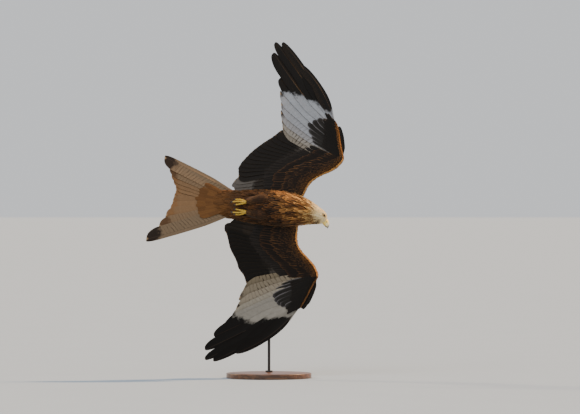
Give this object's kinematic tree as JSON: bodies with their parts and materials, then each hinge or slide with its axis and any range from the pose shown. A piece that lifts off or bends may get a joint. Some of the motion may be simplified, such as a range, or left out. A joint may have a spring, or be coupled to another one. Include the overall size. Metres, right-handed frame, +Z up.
{
  "type": "red kite bird model in banking flight on a display stand",
  "caption": "Life-size bird of prey with spread, banked wings, forked tail and tucked feet, held in flight by a rod on a round base",
  "frame": {"origin": "the centre of the round base's underside, on the floor", "axes": "+Z up, which is the bird's right side as it banks; +X towards the bird's head; +Y towards the bird's back, away from the camera"},
  "size_m": [0.6998, 0.3, 1.1906],
  "materials": {
    "body_feathers": "rust-brown feathers with dark streaks",
    "head_feathers": "pale grey feathers with fine dark streaks",
    "tail_feathers": "rust-orange feathers, barred at the sides",
    "wing_feathers": "dark brown feathers with rust edges",
    "wing_tip_feathers": "near-black feathers with a pale window",
    "yellow_skin": "scaled yellow skin",
    "horn": "polished black horn",
    "eye": "clear, with amber iris and black pupil",
    "stand_wood": "satin dark walnut",
    "stand_metal": "satin black"
  },
  "bodies": {
    "root": {"torso": "body_feathers", "neck": "body_feathers", "tail_base": "body_feathers", "leg_right_thigh": "body_feathers", "leg_left_thigh": "body_feathers", "head": "head_feathers", "tail": "tail_feathers", "wing_right_arm": "wing_feathers", "wing_right_forearm": "wing_feathers", "wing_right_hand": "wing_tip_feathers", "wing_left_arm": "wing_feathers", "wing_left_forearm": "wing_feathers", "wing_left_hand": "wing_tip_feathers", "cere": "yellow_skin", "bill_lower": "yellow_skin", "bill_upper": "horn", "eye_right": "eye", "eye_left": "eye", "foot_right": "yellow_skin", "foot_left": "yellow_skin", "claw_right_inner": "horn", "claw_right_middle": "horn", "claw_right_outer": "horn", "claw_right_hind": "horn", "claw_left_inner": "horn", "claw_left_middle": "horn", "claw_left_outer": "horn", "claw_left_hind": "horn", "stand_base": "stand_wood", "stand_rod": "stand_metal"}
  },
  "joints": []
}
